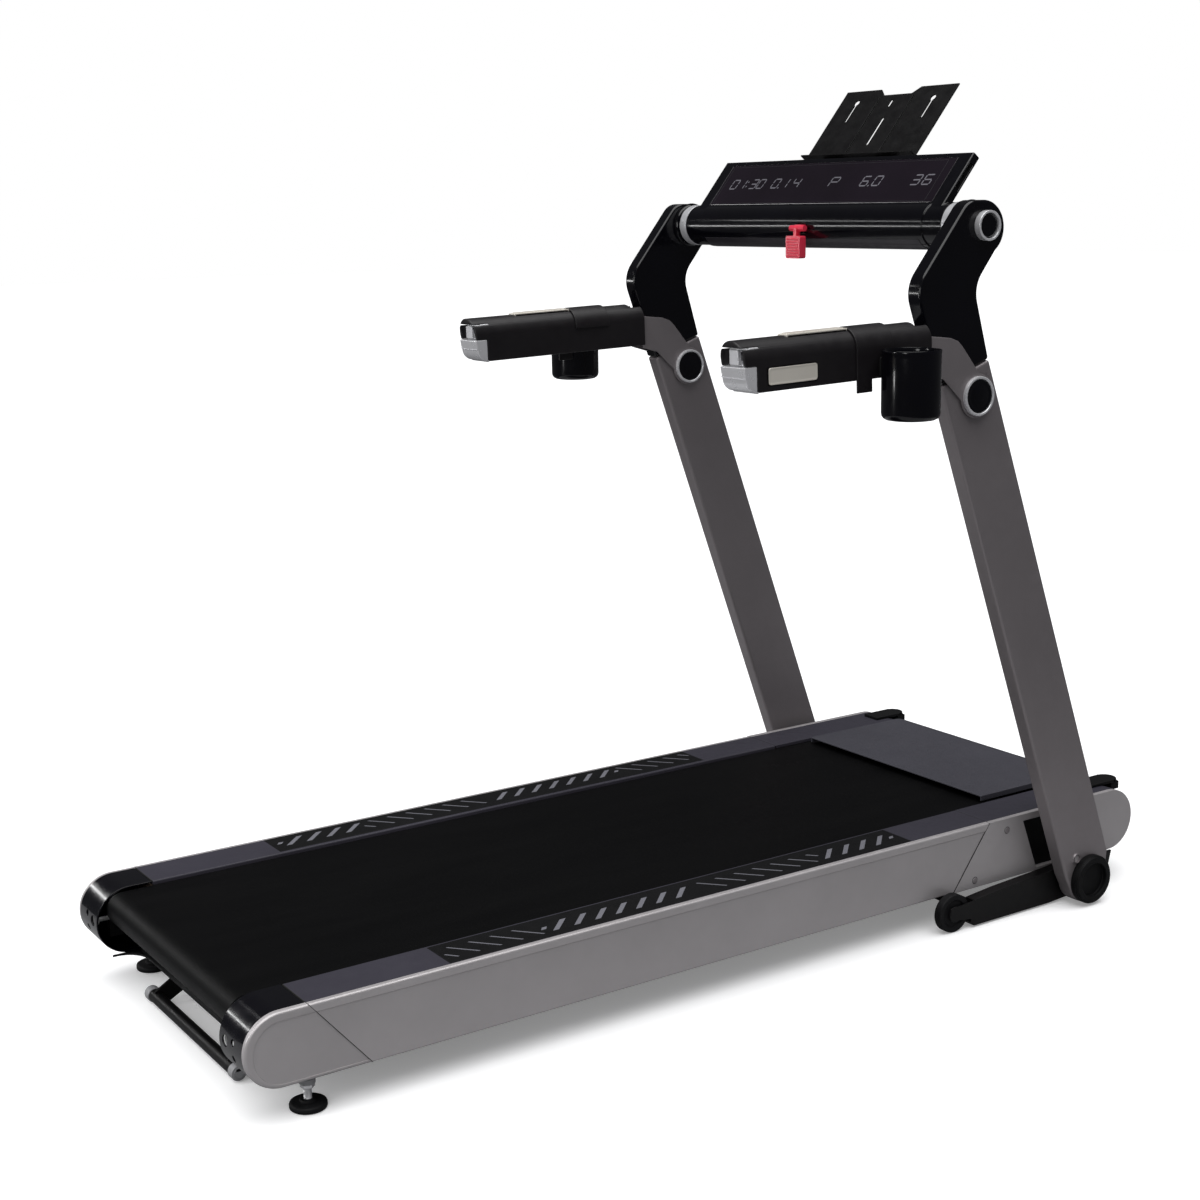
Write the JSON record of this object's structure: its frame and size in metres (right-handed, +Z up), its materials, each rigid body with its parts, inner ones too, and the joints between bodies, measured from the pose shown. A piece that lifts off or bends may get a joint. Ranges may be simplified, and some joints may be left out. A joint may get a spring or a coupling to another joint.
{
  "type": "treadmill",
  "caption": "Flat-deck motorised treadmill with folding uprights, fold-down handles with cup holders, tilting display, tablet rest and powered incline frame.",
  "frame": {"origin": "on the floor, below the centre of the bounding box", "axes": "+X to the user's right, +Y forwards to the motor end, +Z up"},
  "size_m": [1.0361, 1.7785, 1.4413],
  "materials": {
    "silver_paint": "satin",
    "charcoal_plastic": "satin",
    "gloss_black": "gloss",
    "matte_black": "matte",
    "belt_rubber": "matte",
    "black_rubber": "matte",
    "black_steel": "powder coat",
    "chrome": "polished",
    "brushed": "brushed",
    "alu": "satin",
    "grey_plastic": "satin",
    "display": "tinted",
    "red_plastic": "gloss",
    "wood_board": "waxed",
    "pale_metal": "satin"
  },
  "bodies": {
    "deck": {"controller": "alu", "cross_members": "black_steel", "deck_cushions": "black_rubber", "drive_belt": "black_rubber", "foot_pads": "black_rubber", "foot_rails": "charcoal_plastic", "foot_studs": "chrome", "frame_screws": "brushed", "front_lugs": "matte_black", "front_rail_covers": "charcoal_plastic", "front_side_covers": "silver_paint", "grip_strips": "matte_black", "hub_pins": "brushed", "hub_plates": "black_steel", "incline_motor": "black_steel", "motor_body": "matte_black", "motor_hood": "charcoal_plastic", "power_inlet": "matte_black", "rear_bar": "black_steel", "rear_bar_ends": "grey_plastic", "rear_bar_plates": "black_steel", "rear_corner_caps": "gloss_black", "rear_side_caps": "silver_paint", "roller_axles": "brushed", "running_belt": "belt_rubber", "running_board": "wood_board", "screw_plugs": "grey_plastic", "side_panels": "silver_paint", "side_rails": "black_steel", "under_covers": "matte_black"},
    "front_roller": {"front_roller": "brushed"},
    "rear_roller": {"rear_roller": "brushed"},
    "motor_rotor": {"motor_rotor": "brushed"},
    "power_switch": {"power_switch": "gloss_black"},
    "incline_frame": {"incline_frame": "black_steel"},
    "incline_rod": {"incline_rod": "chrome"},
    "wheel_l": {"transport_wheel_l": "black_rubber"},
    "wheel_r": {"transport_wheel_r": "black_rubber"},
    "uprights": {"upright_posts": "silver_paint", "doglegs": "gloss_black", "hub_caps": "matte_black", "console_rings": "chrome", "console_sleeves": "alu"},
    "handles": {"handle_shells": "charcoal_plastic", "fork_brackets": "silver_paint", "pivot_rings": "chrome", "pivot_caps": "gloss_black", "handle_ends": "chrome", "pulse_sensors": "pale_metal", "side_badges": "pale_metal", "cup_saddles": "charcoal_plastic", "cup_holders": "gloss_black"},
    "paddle_l": {"speed_paddle_l": "alu"},
    "paddle_r": {"speed_paddle_r": "alu"},
    "console": {"console_shell": "gloss_black", "display_lens": "display", "port_strip": "matte_black", "rest_hinge": "black_steel"},
    "tablet_rest": {"tablet_rest": "black_steel"},
    "safety_key": {"safety_key": "red_plastic"}
  },
  "joints": [
    {"name": "upright_fold", "type": "hinge", "parent": "deck", "child": "uprights", "pos_m": [0, 0.702, 0.048], "axis": [1, 0, 0], "range_deg": [0, 57]},
    {"name": "handle_fold", "type": "hinge", "parent": "uprights", "child": "handles", "pos_m": [0, 0.395, 0.935], "axis": [1, 0, 0], "range_deg": [0, 104.5]},
    {"name": "console_tilt", "type": "hinge", "parent": "uprights", "child": "console", "pos_m": [0, 0.407, 1.204], "axis": [1, 0, 0], "range_deg": [0, 72]},
    {"name": "rest_fold", "type": "hinge", "parent": "console", "child": "tablet_rest", "pos_m": [0, 0.493, 1.3085], "axis": [1, 0, 0], "range_deg": [-138, 0]},
    {"name": "key_pull", "type": "slide", "parent": "console", "child": "safety_key", "axis": [0, -1, 0], "range_m": [0, 0.03]},
    {"name": "speed_left", "type": "hinge", "parent": "handles", "child": "paddle_l", "pos_m": [-0.3925, -0.08118, 1.01591], "axis": [1, 0, 0], "range_deg": [-5, 5], "stiffness_Nm_per_rad": 0.4},
    {"name": "incline_right", "type": "hinge", "parent": "handles", "child": "paddle_r", "pos_m": [0.3925, -0.08118, 1.01591], "axis": [1, 0, 0], "range_deg": [-5, 5], "stiffness_Nm_per_rad": 0.4},
    {"name": "incline", "type": "hinge", "parent": "deck", "child": "incline_frame", "pos_m": [0, 0.702, 0.048], "axis": [1, 0, 0], "range_deg": [0, 18]},
    {"name": "incline_rod_slide", "type": "slide", "parent": "deck", "child": "incline_rod", "axis": [0, -1, 0], "range_m": [0, 0.0198]},
    {"name": "wheel_l_spin", "type": "hinge", "parent": "incline_frame", "child": "wheel_l", "pos_m": [-0.3625, 0.412, 0.034], "axis": [1, 0, 0], "continuous": true},
    {"name": "wheel_r_spin", "type": "hinge", "parent": "incline_frame", "child": "wheel_r", "pos_m": [0.3625, 0.412, 0.034], "axis": [1, 0, 0], "continuous": true},
    {"name": "front_roller_spin", "type": "hinge", "parent": "deck", "child": "front_roller", "pos_m": [0, 0.64, 0.1385], "axis": [1, 0, 0], "continuous": true},
    {"name": "rear_roller_spin", "type": "hinge", "parent": "deck", "child": "rear_roller", "pos_m": [0, -0.845, 0.1385], "axis": [1, 0, 0], "continuous": true},
    {"name": "motor_spin", "type": "hinge", "parent": "deck", "child": "motor_rotor", "pos_m": [0, 0.77, 0.112], "axis": [1, 0, 0], "continuous": true},
    {"name": "switch_rock", "type": "hinge", "parent": "deck", "child": "power_switch", "pos_m": [-0.115, 0.884, 0.096], "axis": [1, 0, 0], "range_deg": [-6, 0]}
  ],
  "couplings": [
    {"joint": "handle_fold", "follows": "upright_fold", "ratio": 1.825},
    {"joint": "incline_rod_slide", "follows": "incline", "m_per_rad": 0.06},
    {"joint": "rear_roller_spin", "follows": "front_roller_spin", "ratio": 1},
    {"joint": "motor_spin", "follows": "front_roller_spin", "ratio": 1.189}
  ]
}
